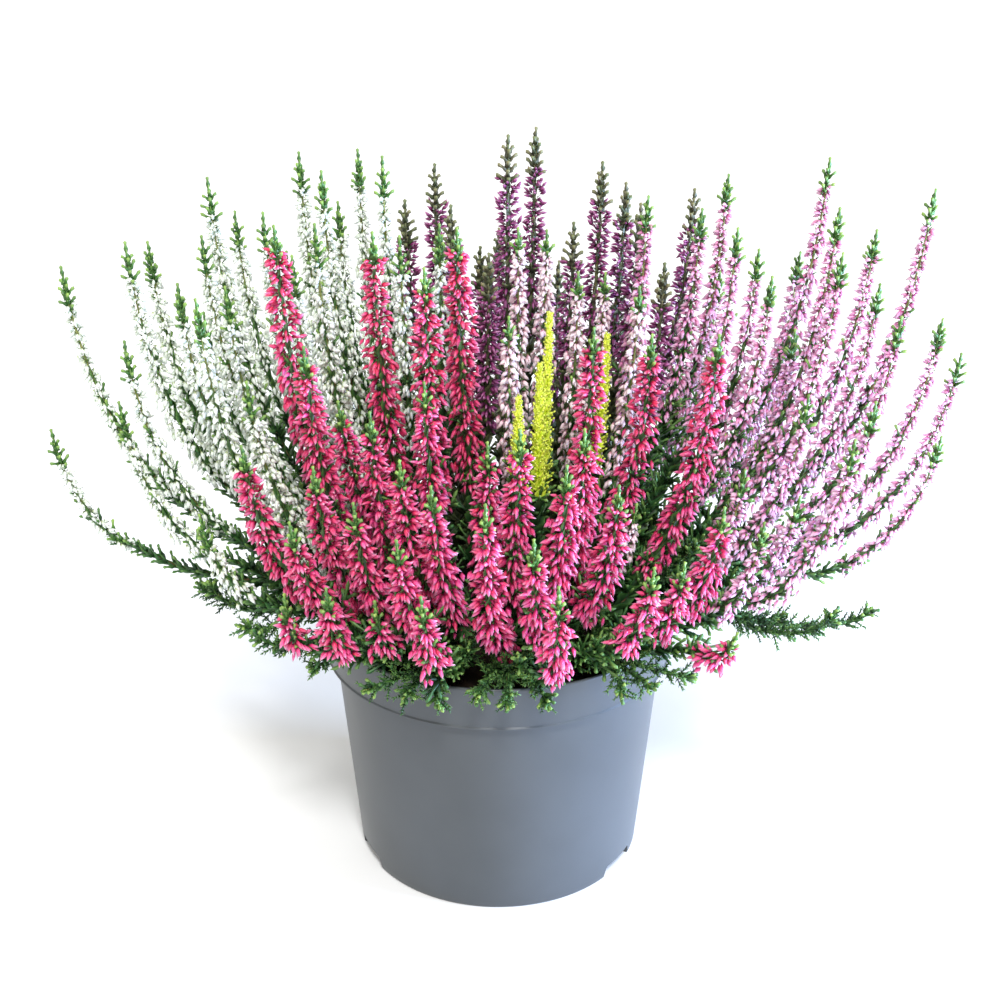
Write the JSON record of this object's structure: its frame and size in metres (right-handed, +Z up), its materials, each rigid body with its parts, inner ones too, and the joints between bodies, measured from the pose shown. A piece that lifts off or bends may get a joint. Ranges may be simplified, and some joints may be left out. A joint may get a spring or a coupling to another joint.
{
  "type": "potted heather",
  "caption": "Bushy mixed heather in a plain round plastic nursery pot, its upright shoots set with white, crimson, pink, purple and golden buds.",
  "frame": {"origin": "centre of the pot's flat base, on the surface it stands on", "axes": "+Z up, -Y the front, +X to the right as seen from the front, along the wider spread of the bush"},
  "size_m": [0.4682, 0.2886, 0.38],
  "materials": {
    "pot": "moulded blue-grey plastic, soft sheen",
    "soil": "damp peat, crumbly and matte",
    "white_heather": "waxy white buds on brown stems with green tips",
    "crimson_heather": "waxy crimson-pink buds on brown stems with green tips",
    "blush_heather": "waxy blush-white buds with rose bases",
    "purple_heather": "waxy purple buds with dark olive tips",
    "pink_heather": "waxy light-pink buds with rose bases",
    "golden_heather": "yellow-green scale leaves",
    "leafy_heather": "small dark green needle leaves"
  },
  "bodies": {
    "root": {"pot": "pot", "soil": "soil", "white_branch_01": "white_heather", "white_branch_02": "white_heather", "white_branch_03": "white_heather", "white_branch_04": "white_heather", "white_branch_05": "white_heather", "white_branch_06": "white_heather", "white_branch_07": "white_heather", "white_branch_08": "white_heather", "white_branch_09": "white_heather", "white_branch_10": "white_heather", "white_branch_11": "white_heather", "crimson_branch_01": "crimson_heather", "crimson_branch_02": "crimson_heather", "crimson_branch_03": "crimson_heather", "crimson_branch_04": "crimson_heather", "crimson_branch_05": "crimson_heather", "crimson_branch_06": "crimson_heather", "crimson_branch_07": "crimson_heather", "crimson_branch_08": "crimson_heather", "crimson_branch_09": "crimson_heather", "crimson_branch_10": "crimson_heather", "crimson_branch_11": "crimson_heather", "crimson_branch_12": "crimson_heather", "crimson_branch_13": "crimson_heather", "crimson_branch_14": "crimson_heather", "crimson_branch_15": "crimson_heather", "purple_branch_01": "purple_heather", "purple_branch_02": "purple_heather", "purple_branch_03": "purple_heather", "purple_branch_04": "purple_heather", "purple_branch_05": "purple_heather", "purple_branch_06": "purple_heather", "purple_branch_07": "purple_heather", "blush_branch_01": "blush_heather", "blush_branch_02": "blush_heather", "blush_branch_03": "blush_heather", "pink_branch_01": "pink_heather", "pink_branch_02": "pink_heather", "pink_branch_03": "pink_heather", "pink_branch_04": "pink_heather", "pink_branch_05": "pink_heather", "pink_branch_06": "pink_heather", "pink_branch_07": "pink_heather", "pink_branch_08": "pink_heather", "pink_branch_09": "pink_heather", "pink_branch_10": "pink_heather", "golden_branch_01": "golden_heather", "golden_branch_02": "golden_heather", "leafy_spray_01": "leafy_heather", "leafy_spray_02": "leafy_heather", "leafy_spray_03": "leafy_heather", "leafy_spray_04": "leafy_heather", "leafy_spray_05": "leafy_heather", "leafy_spray_06": "leafy_heather", "leafy_spray_07": "leafy_heather", "leafy_spray_08": "leafy_heather", "leafy_spray_09": "leafy_heather"}
  },
  "joints": []
}
